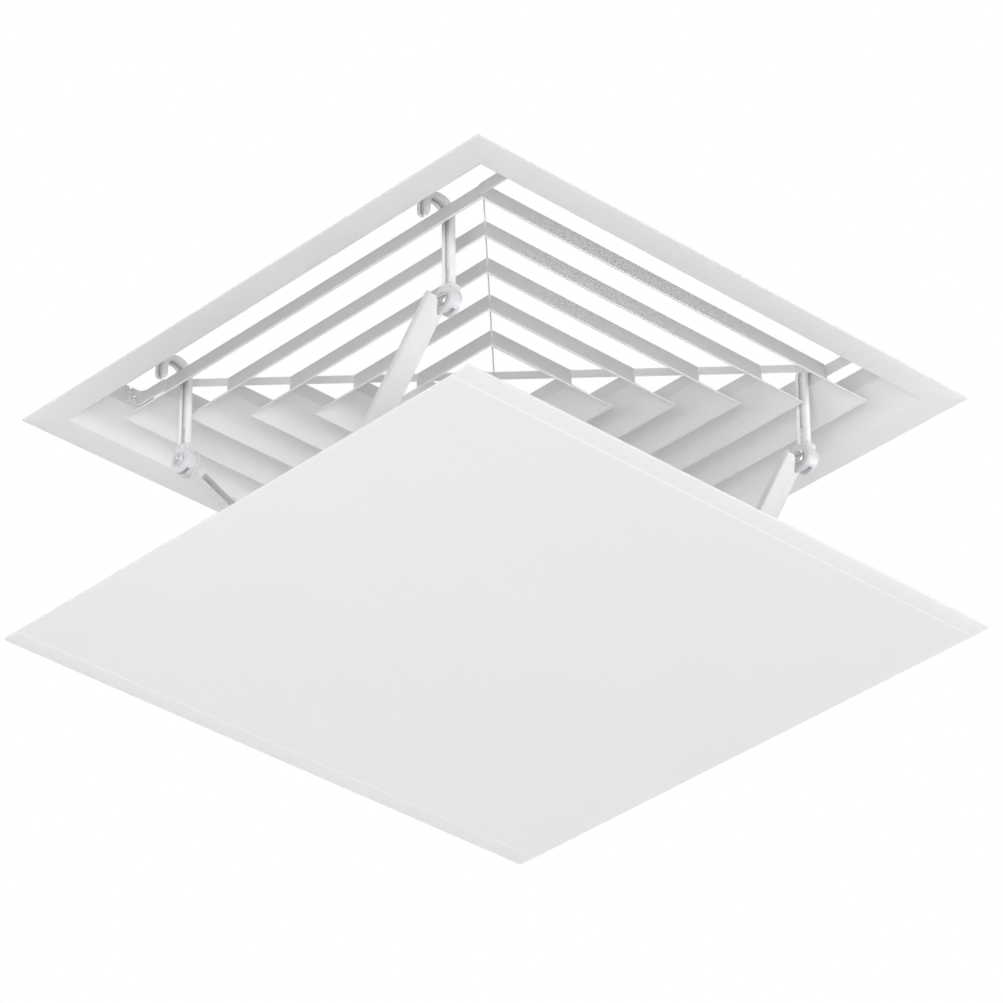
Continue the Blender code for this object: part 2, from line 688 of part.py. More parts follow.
def foot_pin():
    """Headed pin with a snap end, centred on the arm's middle plane."""
    edge = ARM_WIDTH / 2 + 0.4
    # (radius, y)
    profile = [
        (0.0, -edge - 1.8), (3.4, -edge - 1.8), (4.4, -edge - 1.0), (4.4, -edge),
        (PIN_RADIUS, -edge), (PIN_RADIUS, edge), (3.9, edge), (3.9, edge + 0.6),
        (2.2, edge + 2.2), (0.0, edge + 2.2),
    ]
    return turned("foot_pin", profile, 24)


def build_arms(nylon, steel, panel_base):
    rods = {-1: hook_rod("hook_rod_hand_a", -1), 1: hook_rod("hook_rod_hand_b", 1)}
    shared = (
        ("rod_clamp_", rod_clamp(), nylon),
        ("clamp_screw_", clamp_screw(), steel),
        ("clamp_nut_", clamp_nut(), steel),
        ("lower_arm_", lower_arm(), nylon),
    )
    bracket, pin = foot_bracket(), foot_pin()
    for corner, (x, y) in ARMS.items():
        facing = 1 if x > 0 else -1
        turn = 0.0 if x > 0 else math.pi
        # every hook curls outward, over ring 1's upright
        lean = facing if y > 0 else -facing
        knuckle = empty("pivot_" + corner, (x, y, FLANGE_Z + KNUCKLE_Z), turn)
        put("hook_rod_" + corner, rods[lean], nylon, knuckle)
        for prefix, mesh, mat in shared:
            put(prefix + corner, mesh, mat, knuckle)
        foot = (x - facing * ARM_RUN, y + facing * ARM_MID_Y, FLANGE_Z + FOOT_Z)
        local = [place - pivot for place, pivot in zip(foot, PANEL_PIVOT)]
        put("foot_bracket_" + corner, bracket, nylon, panel_base, local, turn)
        put("foot_pin_" + corner, pin, steel, panel_base, local, turn)


def main():
    clear_scene()
    white = material("white_powder_coat", colour=(0.83, 0.83, 0.83),
                     roughness=0.45, metallic=0.0)
    plastic = material("white_abs", colour=(0.88, 0.88, 0.88),
                       roughness=0.35, metallic=0.0)
    nylon = material("natural_nylon", colour=(0.82, 0.82, 0.86),
                     roughness=0.35, metallic=0.0)
    steel = material("zinc_steel", colour=(0.72, 0.72, 0.74),
                     roughness=0.3, metallic=1.0)
    root = empty("diffuser", (0.0, 0.0, FLANGE_Z))
    panel_base = empty("panel_pivot", PANEL_PIVOT)
    build_frame(white, root)
    build_corner_cleats(steel, root)
    build_louvre_rings(white, root)
    build_spine_bars(white, root)
    build_straps(white, root)
    build_rivets(steel, root)
    build_panel(plastic, panel_base)
    build_arms(nylon, steel, panel_base)


main()
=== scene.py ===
import json
import math

import bmesh
import bpy
from mathutils import Matrix, Vector


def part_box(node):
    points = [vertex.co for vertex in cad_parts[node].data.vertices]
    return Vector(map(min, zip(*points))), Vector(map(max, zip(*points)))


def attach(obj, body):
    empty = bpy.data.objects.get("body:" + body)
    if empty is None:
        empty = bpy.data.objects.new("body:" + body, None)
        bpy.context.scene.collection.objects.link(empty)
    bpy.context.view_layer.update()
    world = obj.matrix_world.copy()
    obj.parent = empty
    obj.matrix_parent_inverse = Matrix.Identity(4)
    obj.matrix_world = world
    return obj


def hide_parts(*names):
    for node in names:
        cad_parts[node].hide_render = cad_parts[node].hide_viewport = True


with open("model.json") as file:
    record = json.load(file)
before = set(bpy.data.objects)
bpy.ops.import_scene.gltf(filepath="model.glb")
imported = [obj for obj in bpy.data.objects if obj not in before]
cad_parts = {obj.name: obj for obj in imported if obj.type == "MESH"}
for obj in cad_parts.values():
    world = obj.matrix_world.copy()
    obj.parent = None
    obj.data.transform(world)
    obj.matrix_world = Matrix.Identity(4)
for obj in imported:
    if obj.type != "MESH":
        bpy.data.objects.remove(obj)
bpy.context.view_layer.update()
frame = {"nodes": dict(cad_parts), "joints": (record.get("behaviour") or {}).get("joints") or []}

MM = 0.001
CORNERS = ("fr", "br", "fl", "bl")
JOINTS = {j["name"]: j for j in frame["joints"]}


# ------------------------------------------------------------------ places, from the CAD
def span(node, axis):
    low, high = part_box(node)
    return low[axis] / MM, high[axis] / MM


FLANGE_Z, NECK_TOP_Z = span("frame_side_front", 2)
FRAME_HALF = -span("frame_side_front", 1)[0]
PANEL_X = span("deflector_panel", 0)[1]
PANEL_Y = span("deflector_panel", 1)[1]
PANEL_T = 1.6
BLADE_T = 0.8
RING_TOP = span("louvre_ring_1", 2)[1]


# ------------------------------------------------------------------ mesh helpers (mm in, metres out)
def finish_mesh(name, bm, smooth=30.0):
    bmesh.ops.recalc_face_normals(bm, faces=bm.faces)
    bmesh.ops.scale(bm, vec=(MM, MM, MM), verts=bm.verts)
    mesh = bpy.data.meshes.new(name)
    bm.to_mesh(mesh)
    bm.free()
    if smooth:
        mesh.shade_smooth()
        mesh.set_sharp_from_angle(angle=math.radians(smooth))
    return mesh


def piece(name, mesh, mat, body, *nodes, slot=None, matrix=None):
    obj = bpy.data.objects.new(name, mesh)
    bpy.context.scene.collection.objects.link(obj)
    if matrix is not None:
        obj.matrix_world = matrix
    mesh.materials.clear()
    mesh.materials.append(mat)
    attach(obj, body)
    if nodes:
        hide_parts(*nodes)
    return obj


def arc(cx, cy, r, a0, a1, steps):
    pts = []
    for i in range(steps + 1):
        a = math.radians(a0 + (a1 - a0) * i / steps)
        pts.append((cx + r * math.cos(a), cy + r * math.sin(a)))
    return pts


def circle(r, steps=48, cx=0.0, cy=0.0):
    return arc(cx, cy, r, 0.0, 360.0, steps)[:-1]


def rounded(points, radii, steps=5):
    """Round each corner of a closed polygon by its radius (0 keeps it sharp)."""
    out = []
    n = len(points)
    for i, (p, r) in enumerate(zip(points, radii)):
        if r <= 0:
            out.append(p)
            continue
        a = Vector(points[i - 1]) - Vector(p)
        b = Vector(points[(i + 1) % n]) - Vector(p)
        la, lb = a.length, b.length
        a.normalize()
        b.normalize()
        ang = a.angle(b)
        if ang > math.pi - 1e-3:
            out.append(p)
            continue
        t = min(r / math.tan(ang / 2), la * 0.49, lb * 0.49)
        r = t * math.tan(ang / 2)
        bis = (a + b).normalized()
        c = Vector(p) + bis * (r / math.sin(ang / 2))
        s, e = Vector(p) + a * t - c, Vector(p) + b * t - c
        a0 = math.atan2(s.y, s.x)
        a1 = math.atan2(e.y, e.x)
        d = (a1 - a0 + math.pi) % (2 * math.pi) - math.pi
        for k in range(steps + 1):
            q = a0 + d * k / steps
            out.append((c.x + r * math.cos(q), c.y + r * math.sin(q)))
    return out


def prism_bm(outline, low, high, place):
    bm = bmesh.new()
    base = bm.faces.new([bm.verts.new(place(u, v, low)) for u, v in outline])
    top = bmesh.ops.extrude_face_region(bm, geom=[base])
    moved = [g for g in top["geom"] if isinstance(g, bmesh.types.BMVert)]
    step = Vector(place(0, 0, high)) - Vector(place(0, 0, low))
    bmesh.ops.translate(bm, vec=step, verts=moved)
    bmesh.ops.recalc_face_normals(bm, faces=bm.faces)
    return bm


def along_x(u, v, h):
    return (h, u, v)


def along_y(u, v, h):
    return (u, h, v)


def along_z(u, v, h):
    return (u, v, h)


def prism(name, outline, low, high, place=along_y):
    return finish_mesh(name, prism_bm(outline, low, high, place), 0)


def box_mesh(name, x0, x1, y0, y1, z0, z1):
    return prism(name, [(x0, y0), (x1, y0), (x1, y1), (x0, y1)], z0, z1, along_z)


def turned(name, profile, steps=64, smooth=35.0):
    """Revolve (radius, height) about local Y."""
    bm = bmesh.new()
    rows = []
    for r, h in profile:
        if r < 1e-9:
            rows.append([bm.verts.new((0, h, 0))])
        else:
            rows.append([bm.verts.new((u, h, v)) for u, v in circle(r, steps)])
    for a, b in zip(rows, rows[1:]):
        for i in range(steps):
            j = (i + 1) % steps
            if len(a) == 1:
                bm.faces.new((a[0], b[i], b[j]))
            elif len(b) == 1:
                bm.faces.new((a[i], a[j], b[0]))
            else:
                bm.faces.new((a[i], a[j], b[j], b[i]))
    return finish_mesh(name, bm, smooth)


def work(name, base, steps=(), bevel=0.0, segments=2, limit=35.0, smooth=40.0):
    """Boolean steps, then a rounded edge, applied; returns a finished mesh."""
    scene = bpy.context.scene.collection
    body = bpy.data.objects.new(name + "_blank", base)
    scene.objects.link(body)
    tools = []
    for i, (operation, mesh, matrix) in enumerate(steps):
        tool = bpy.data.objects.new(f"{name}_tool{i}", mesh)
        tool.matrix_world = matrix
        scene.objects.link(tool)
        tools.append(tool)
        cut = body.modifiers.new(f"cut{i}", "BOOLEAN")
        cut.operation = operation
        cut.solver = "EXACT"
        cut.object = tool
    if bevel:
        weld = body.modifiers.new("weld", "WELD")
        weld.merge_threshold = 1e-6
        flat = body.modifiers.new("flat", "DECIMATE")
        flat.decimate_type = "DISSOLVE"
        flat.angle_limit = math.radians(0.5)
        edge = body.modifiers.new("edge", "BEVEL")
        edge.width = bevel * MM
        edge.segments = segments
        edge.limit_method = "ANGLE"
        edge.angle_limit = math.radians(limit)
        edge.use_clamp_overlap = True
        edge.miter_outer = "MITER_ARC"
    bpy.context.view_layer.update()
    graph = bpy.context.evaluated_depsgraph_get()
    mesh = bpy.data.meshes.new_from_object(body.evaluated_get(graph))
    mesh.name = name
    for obj in [body, *tools]:
        bpy.data.objects.remove(obj, do_unlink=True)
    if smooth:
        mesh.shade_smooth()
        mesh.set_sharp_from_angle(angle=math.radians(smooth))
    return mesh


I4 = Matrix.Identity(4)


def at(x, y, z, turn_y=0.0, turn_z=0.0):
    return (
        Matrix.Translation((x * MM, y * MM, z * MM))
        @ Matrix.Rotation(turn_z, 4, "Z")
        @ Matrix.Rotation(turn_y, 4, "Y")
    )


def refine(node, bevel, segments=2, limit=35.0):
    """A copy of a CAD node's shape with its edges rounded."""
    return work(node + "_fine", frame["nodes"][node].data.copy(), (), bevel, segments, limit)


# ------------------------------------------------------------------ materials
def nodes_of(name):
    mat = bpy.data.materials.new(name)
    mat.use_nodes = True
    tree = mat.node_tree
    return mat, tree, tree.nodes["Principled BSDF"]


def add(tree, kind, **values):
    node = tree.nodes.new(kind)
    for key, value in values.items():
        if hasattr(node, key):
            setattr(node, key, value)
        else:
            node.inputs[key].default_value = value
    return node


def coords(tree):
    """Position in the row frame at rest: every piece's mesh keeps those coordinates or its own."""
    return add(tree, "ShaderNodeTexCoord").outputs["Object"]


def noise(tree, vector, scale, detail=4.0, rough=0.5, distortion=0.0):
    n = add(tree, "ShaderNodeTexNoise")
    n.inputs["Scale"].default_value = scale
    n.inputs["Detail"].default_value = detail
    n.inputs["Roughness"].default_value = rough
    n.inputs["Distortion"].default_value = distortion
    tree.links.new(vector, n.inputs["Vector"])
    return n.outputs["Fac"]


def ramp(tree, fac, stops):
    r = add(tree, "ShaderNodeValToRGB")
    els = r.color_ramp.elements
    while len(els) > 1:
        els.remove(els[-1])
    els[0].position, els[0].color = stops[0][0], (*stops[0][1], 1)
    for pos, col in stops[1:]:
        e = els.new(pos)
        e.color = (*col, 1)
    tree.links.new(fac, r.inputs["Fac"])
    return r.outputs["Color"]


def grey(v):
    return (v, v, v)


def mix_rgb(tree, fac, a, b, kind="MIX"):
    m = add(tree, "ShaderNodeMix")
    m.data_type = "RGBA"
    m.blend_type = kind
    for sock, val in ((m.inputs[0], fac), (m.inputs[6], a), (m.inputs[7], b)):
        if isinstance(val, (int, float)):
            sock.default_value = val
        elif isinstance(val, tuple):
            sock.default_value = (*val, 1.0)
        else:
            tree.links.new(val, sock)
    return m.outputs[2]


def math_node(tree, op, a, b=None, clamp=False):
    m = add(tree, "ShaderNodeMath")
    m.operation = op
    m.use_clamp = clamp
    for i, val in enumerate((a, b)):
        if val is None:
            continue
        if isinstance(val, (int, float)):
            m.inputs[i].default_value = val
        else:
            tree.links.new(val, m.inputs[i])
    return m.outputs[0]


def to_range(tree, fac, lo, hi):
    r = add(tree, "ShaderNodeMapRange")
    tree.links.new(fac, r.inputs["Value"])
    r.inputs["To Min"].default_value = lo
    r.inputs["To Max"].default_value = hi
    return r.outputs["Result"]


def bump(tree, height, strength, distance, normal=None):
    b = add(tree, "ShaderNodeBump")
    b.inputs["Strength"].default_value = strength
    b.inputs["Distance"].default_value = distance
    tree.links.new(height, b.inputs["Height"])
    if normal is not None:
        tree.links.new(normal, b.inputs["Normal"])
    return b.outputs["Normal"]


def edge_mask(tree, size, spread=0.6):
    """1 near sharp edges, from a bevelled normal, for a highlight painted where edges catch light."""
    bev = add(tree, "ShaderNodeBevel")
    bev.samples = 4
    bev.inputs["Radius"].default_value = size
    geo = add(tree, "ShaderNodeNewGeometry")
    dot = add(tree, "ShaderNodeVectorMath")
    dot.operation = "DOT_PRODUCT"
    tree.links.new(bev.outputs["Normal"], dot.inputs[0])
    tree.links.new(geo.outputs["Normal"], dot.inputs[1])
    away = math_node(tree, "SUBTRACT", 1.0, dot.outputs["Value"])
    return math_node(tree, "MULTIPLY", away, 1.0 / spread, clamp=True)


def powder_coat(name, base, warm=0.0):
    """Satin powder coat: orange peel, faint tone drift, a little settled dirt, a painted highlight along sharp edges.
    """
    mat, tree, shader = nodes_of(name)
    pos = coords(tree)
    drift = noise(tree, pos, 3.0, 3.0, 0.5)
    fine = noise(tree, pos, 60.0, 5.0, 0.6)
    tone = ramp(tree, drift, [(0.3, grey(base * 0.975)), (0.7, (base, base, base - warm))])
    speck = ramp(tree, fine, [(0.3, grey(0.985)), (0.7, grey(1.0))])
    colour = mix_rgb(tree, 1.0, tone, speck, "MULTIPLY")
    # painted highlight: sharp edges lightened towards a brighter white
    edge_highlight = edge_mask(tree, 0.0012)
    colour = mix_rgb(tree, math_node(tree, "MULTIPLY", edge_highlight, 0.35), colour, grey(min(base * 1.06, 0.95)))
    tree.links.new(colour, shader.inputs["Base Color"])
    rough = to_range(tree, noise(tree, pos, 25.0, 3.0), 0.40, 0.52)
    tree.links.new(rough, shader.inputs["Roughness"])
    peel = noise(tree, pos, 900.0, 2.0, 0.5)
    tree.links.new(bump(tree, peel, 0.02, 0.000006), shader.inputs["Normal"])
    shader.inputs["Specular IOR Level"].default_value = 0.42
    shader.inputs["Coat Weight"].default_value = 0.06
    shader.inputs["Coat Roughness"].default_value = 0.3
    return mat


def panel_plastic(name, base, crease):
    """Satin ABS sheet: fine grain, faint flow, a painted highlight line along each formed fold."""
    mat, tree, shader = nodes_of(name)
    pos = coords(tree)
    stretch = add(tree, "ShaderNodeMapping")
    stretch.inputs["Scale"].default_value = (1.0, 0.25, 1.0)
    tree.links.new(pos, stretch.inputs["Vector"])
    drift = noise(tree, stretch.outputs["Vector"], 2.6, 3.0, 0.5, 0.4)
    tone = ramp(tree, drift, [(0.28, grey(base * 0.975)), (0.72, grey(base * 1.008))])
    fine = noise(tree, pos, 240.0, 4.0, 0.6)
    colour = mix_rgb(tree, 1.0, tone, ramp(tree, fine, [(0.35, grey(0.988)), (0.65, grey(1.0))]), "MULTIPLY")
    split = add(tree, "ShaderNodeSeparateXYZ")
    tree.links.new(pos, split.inputs[0])
    # painted highlight: a thin light line along each fold, crease mm from the centre in X, broken up by noise
    off = math_node(tree, "ABSOLUTE", math_node(tree, "SUBTRACT", math_node(tree, "ABSOLUTE", split.outputs["X"]), crease * MM))
    line = math_node(tree, "SUBTRACT", 1.6, math_node(tree, "MULTIPLY", off, 1.6 / 0.0012), clamp=True)
    broken = to_range(tree, noise(tree, pos, 45.0, 2.0), 0.65, 1.0)
    line = math_node(tree, "MULTIPLY", line, broken)
    colour = mix_rgb(tree, math_node(tree, "MULTIPLY", line, 0.85), colour, grey(0.97))
    tree.links.new(colour, shader.inputs["Base Color"])
    rough = to_range(tree, noise(tree, pos, 18.0, 4.0), 0.52, 0.62)
    tree.links.new(rough, shader.inputs["Roughness"])
    grain = noise(tree, pos, 1600.0, 2.0, 0.6)
    wave = noise(tree, pos, 7.0, 1.0)
    n = bump(tree, wave, 0.05, 0.002)
    tree.links.new(bump(tree, grain, 0.16, 0.00008, n), shader.inputs["Normal"])
    shader.inputs["Specular IOR Level"].default_value = 0.25
    shader.inputs["Subsurface Weight"].default_value = 0.05
    shader.inputs["Subsurface Radius"].default_value = (0.002, 0.002, 0.002)
    shader.inputs["Subsurface Scale"].default_value = 1.0
    return mat


def recess_mask(tree, reach, strength):
    """1 deep in grooves and inside corners, for painting shade there."""
    ao = add(tree, "ShaderNodeAmbientOcclusion")
    ao.samples = 6
    ao.only_local = True
    ao.inputs["Distance"].default_value = reach
    deep = math_node(tree, "SUBTRACT", 1.0, ao.outputs["AO"])
    return math_node(tree, "MULTIPLY", deep, strength, clamp=True)


def moulded(name, base, rough_lo, rough_hi, sss=0.1, trans=0.0, gloss=0.45, recess_shade=0.0):
    """Injection-moulded plastic: soft sheen, faint flow clouds, light through thin walls."""
    mat, tree, shader = nodes_of(name)
    pos = coords(tree)
    drift = noise(tree, pos, 35.0, 3.0, 0.55, 0.6)
    low = tuple(c * 0.96 for c in base)
    tone = ramp(tree, drift, [(0.3, low), (0.7, base)])
    # painted highlight: sharp edges lightened towards a brighter tone
    edge_highlight = edge_mask(tree, 0.0006)
    bright = tuple(min(c * 1.08, 0.97) for c in base)
    colour = mix_rgb(tree, math_node(tree, "MULTIPLY", edge_highlight, 0.45), tone, bright)
    # painted shade: grooves and inside corners darkened towards dark grey by an occlusion mask
    if recess_shade:
        colour = mix_rgb(tree, recess_mask(tree, 0.006, recess_shade), colour, grey(0.22))
    tree.links.new(colour, shader.inputs["Base Color"])
    tree.links.new(to_range(tree, noise(tree, pos, 90.0, 3.0), rough_lo, rough_hi), shader.inputs["Roughness"])
    n = bump(tree, noise(tree, pos, 1400.0, 2.0), 0.1, 0.00006)
    tree.links.new(n, shader.inputs["Normal"])
    shader.inputs["Specular IOR Level"].default_value = gloss
    shader.inputs["Subsurface Weight"].default_value = sss
    shader.inputs["Subsurface Radius"].default_value = (0.004, 0.004, 0.0045)
    shader.inputs["Subsurface Scale"].default_value = 1.0
    shader.inputs["Transmission Weight"].default_value = trans
    shader.inputs["IOR"].default_value = 1.5
    return mat


def zinc(name, tint=(0.78, 0.79, 0.81)):
    """Bright zinc plate: spangle tone, brushed and slightly uneven sheen."""
    mat, tree, shader = nodes_of(name)
    pos = coords(tree)
    cells = add(tree, "ShaderNodeTexVoronoi")
    cells.inputs["Scale"].default_value = 350.0
    tree.links.new(pos, cells.inputs["Vector"])
    tone = ramp(tree, cells.outputs["Distance"], [(0.0, tuple(c * 0.9 for c in tint)), (0.8, tint)])
    tree.links.new(tone, shader.inputs["Base Color"])
    tree.links.new(to_range(tree, noise(tree, pos, 120.0, 4.0), 0.2, 0.38), shader.inputs["Roughness"])
    shader.inputs["Metallic"].default_value = 1.0
    tree.links.new(bump(tree, noise(tree, pos, 700.0, 3.0), 0.15, 0.00005), shader.inputs["Normal"])
    return mat


WHITE_FRAME = powder_coat("frame_powder_coat", 0.84)
WHITE_BLADE = powder_coat("blade_powder_coat", 0.82)
PANEL_MAT = panel_plastic("panel_abs", 0.88, PANEL_X - 20.0)
# painted light: the spine bars get a lighter copy of the blade coat, standing in for light their shaded edges miss
SPINE_MAT = powder_coat("spine_powder_coat", 0.92)
# painted shade: the arms get a darker copy of the rod plastic, since their webs face the key light
ARM_MAT = moulded("arm_plastic", (0.73, 0.73, 0.735), 0.30, 0.44, 0.12)
# the last value paints shade into the rod's groove and inside corners
ROD_MAT = moulded("rod_plastic", (0.93, 0.93, 0.93), 0.20, 0.32, 0.15, 0.0, 0.5, 1.3)
NYLON = moulded("natural_nylon", (0.87, 0.87, 0.92), 0.22, 0.34, 0.35, 0.12)
ZINC = zinc("bright_zinc", (0.9, 0.9, 0.92))
RIVET_MAT = zinc("aluminium_rivet", (0.93, 0.93, 0.94))


# ------------------------------------------------------------------ frame and louvres
def frame_section(reach, t=1.5):
    """Closed section of the folded frame, (distance from centre, height), fold radii included."""
    z = FLANGE_Z
    outer = FRAME_HALF
    flange_in = outer - 29.2
    throat = flange_in - 25.0
    k = t * math.tan(math.radians(22.5))
    pts = [
        (outer, z), (flange_in, z), (throat, z + 25.0), (throat, NECK_TOP_Z),
        (throat + t, NECK_TOP_Z), (throat + t, z + 25.0 + k), (flange_in + k, z + t), (outer, z + t),
    ]
    return rounded(pts, [0.6, 1.2, 2.0, 0.5, 0.5, 3.4, 2.6, 0.6], 5)


def side_mesh(name, section, gap):
    """One mitred side at -Y."""
    bm = bmesh.new()
    ends = [[bm.verts.new((s * (r - gap), -r, z)) for r, z in section] for s in (-1, 1)]
    n = len(section)
    for i in range(n):
        j = (i + 1) % n
        bm.faces.new((ends[0][i], ends[0][j], ends[1][j], ends[1][i]))
    bm.faces.new(ends[0])
    bm.faces.new(list(reversed(ends[1])))
    return finish_mesh(name, bm, 40)


def ring_section(half, t=BLADE_T):
    """Blade section with fold radii and a rolled hem."""
    z = FLANGE_Z
    k = t * math.tan(math.radians(22.5))
    d = t * math.sqrt(2.0)
    top = RING_TOP
    pts = [
        (half, z), (half - 25.0, z + 25.0), (half - 25.0, top), (half - 25.0 + t, top),
        (half - 25.0 + t, z + 25.0 + k), (half + d - 4.0, z + 4.0), (half + 2 * d - 4.0, z + 4.0), (half + 2 * d, z),
    ]
    return rounded(pts, [0.35, 1.4, 0.35, 0.35, 1.9, 0.2, 0.4, 0.7], 4)


def ring_mesh(name, section):
    bm = bmesh.new()
    rows = [[bm.verts.new((sx * r, sy * r, z)) for r, z in section]
            for sx, sy in ((1, -1), (1, 1), (-1, 1), (-1, -1))]
    n = len(section)
    for k in range(4):
        a, b = rows[k], rows[(k + 1) % 4]
        for i in range(n):
            j = (i + 1) % n
            bm.faces.new((a[i], a[j], b[j], b[i]))
    return finish_mesh(name, bm, 0)


def build_frame():
    section = frame_section(FRAME_HALF)
    gap = 0.01       # the mitres are welded and coated over
    plain = side_mesh("frame_side_plain", section, gap)
    places = []
    for level in ("lower", "upper"):
        lo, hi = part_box("strap_rivet_br_" + level)
        places.append(((lo.y + hi.y) / 2 / MM, (lo.z + hi.z) / 2 / MM))
    hole = prism("rivet_hole", circle(1.9, 24), -4.0, 4.0, along_x)
    throat = FRAME_HALF - 29.2 - 25.0
    holes = [("DIFFERENCE", hole, at(s * y, -(throat + 0.75), z, turn_z=math.pi / 2))
             for s in (-1, 1) for y, z in places]
    pierced = work("frame_side_pierced", plain.copy(), holes, smooth=40)
    for name, turn, mesh in (("front", 0, plain), ("right", 90, pierced),
                             ("back", 180, plain.copy()), ("left", 270, pierced.copy())):
        piece("frame_" + name, mesh, WHITE_FRAME, "diffuser", "frame_side_" + name,
              slot="frame_white", matrix=Matrix.Rotation(math.radians(turn), 4, "Z"))
    for c in CORNERS:
        piece("cleat_" + c, refine("corner_cleat_" + c, 0.35), ZINC, "diffuser",
              "corner_cleat_" + c, slot="zinc_steel")


def build_core():
    for i in range(1, 6):
        node = f"louvre_ring_{i}"
        d = BLADE_T * math.sqrt(2.0)
        half = span(node, 0)[1] - 2 * d
        blank = ring_mesh("ring_blank", ring_section(half))
        reach = half * math.sqrt(2.0) + 10
        slot = box_mesh("ring_slot", -reach, reach, -0.8, 0.8, FLANGE_Z + 31.7, RING_TOP + 5)
        mesh = work(f"ring_{i}_mesh", blank,
                    [("DIFFERENCE", slot, at(0, 0, 0, turn_z=math.radians(a))) for a in (45, -45)],
                    smooth=40)
        piece(f"ring_{i}", mesh, WHITE_BLADE, "diffuser", node, slot="louvre_white")
    for s in "ab":
        piece("spine_" + s, refine("spine_bar_" + s, 0.15), SPINE_MAT, "diffuser",
              "spine_bar_" + s, slot="louvre_white")
    for c in CORNERS:
        piece("strap_" + c, refine("hanger_strap_" + c, 0.4), WHITE_BLADE, "diffuser",
              "hanger_strap_" + c, slot="louvre_white")
        for level in ("lower", "upper"):
            node = f"strap_rivet_{c}_{level}"
            lo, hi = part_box(node)
            length = (hi.x - lo.x) / MM
            head = 1.2
            p = [(0.0, 0.0), (0.7, 0.02), (1.5, 0.16), (2.2, 0.46), (2.7, 0.82), (2.96, 1.1), (3.0, head),
                 (1.6, head), (1.6, length - 1.5), (2.4, length - 1.5), (2.5, length - 1.2),
                 (2.2, length - 0.4), (1.3, length), (0.9, length - 0.3), (0.0, length - 0.4)]
            # a small mandrel dimple in the head
            p[0:1] = [(0.0, 0.35), (0.55, 0.35), (0.62, 0.02)]
            mesh = turned("rivet", p, 40)
            inner_x = lo.x if lo.x > 0 else hi.x
            way = 1 if lo.x > 0 else -1
            m = Matrix.Translation((inner_x, (lo.y + hi.y) / 2, (lo.z + hi.z) / 2)) @ Matrix.Rotation(
                -way * math.pi / 2, 4, "Z")
            piece(f"rivet_{c}_{level}", mesh, RIVET_MAT, "diffuser", node, slot="zinc_steel", matrix=m)


# ------------------------------------------------------------------ panel
def build_panel():
    """Formed sheet: rounded corners and edges, a soft fold 20 mm in from each X side."""
    r = 3.0
    x, y = PANEL_X, PANEL_Y
    rise, fold = 0.6, x - 20.0
    outline = (arc(x - r, y - r, r, 0, 90, 20) + arc(-x + r, y - r, r, 90, 180, 20)
               + arc(-x + r, -y + r, r, 180, 270, 20) + arc(x - r, -y + r, r, 270, 360, 20))
    edge = 0.5

    def inset(pts, d):
        n = len(pts)
        res = []
        for i, p in enumerate(pts):
            a, b = Vector(pts[i - 1]), Vector(pts[(i + 1) % n])
            t = (b - a).normalized()
            res.append((p[0] - t.y * d, p[1] + t.x * d))
        return res

    def lift(px):
        a = abs(px) - fold
        soft = 1.2
        slope = rise / 20.0
        score = 0.25 * max(0.0, 1.0 - abs(a) / 0.7)
        if a <= -soft:
            return 0.0
        if a >= soft:
            return slope * a
        return slope * (a + soft) ** 2 / (4 * soft) + score

    # rows from the bottom centre-line round the edge to the top
    rows = []
    steps = 5
    for k in range(steps + 1):
        q = math.pi / 2 * k / steps
        rows.append((edge * (1 - math.sin(q)), edge * (1 - math.cos(q))))
    for k in range(steps + 1):
        q = math.pi / 2 * k / steps
        rows.append((edge * (1 - math.cos(q)), PANEL_T - edge * (1 - math.sin(q))))
    bm = bmesh.new()
    loops = [[bm.verts.new((px, py, h)) for px, py in inset(outline, d)] for d, h in rows]
    n = len(outline)
    for a, b in zip(loops, loops[1:]):
        for i in range(n):
            j = (i + 1) % n
            bm.faces.new((a[i], a[j], b[j], b[i]))
    bm.faces.new(loops[0])
    bm.faces.new(list(reversed(loops[-1])))
    bmesh.ops.recalc_face_normals(bm, faces=bm.faces)
    for s in (-1, 1):
        for o in (-1.8, -1.2, -0.7, 0.0, 0.7, 1.2, 1.8, 8.0):
            bmesh.ops.bisect_plane(bm, geom=bm.verts[:] + bm.edges[:] + bm.faces[:], dist=1e-5,
                                   plane_co=(s * (fold + o), 0, 0), plane_no=(1, 0, 0))
    for v in bm.verts:
        v.co.z += lift(v.co.x)
    bmesh.ops.triangulate(bm, faces=[f for f in bm.faces if len(f.verts) > 4])
    mesh = finish_mesh("panel_mesh", bm, 40)
    piece("panel", mesh, PANEL_MAT, "panel", "deflector_panel", slot="panel_plastic")


# ------------------------------------------------------------------ arms (local: knuckle pivot at the origin)
ROD_W, ROD_T, ROD_RIB = 13.0, 4.6, 4.3
ARM_W = 22.0
ARM_TOP = -4.0


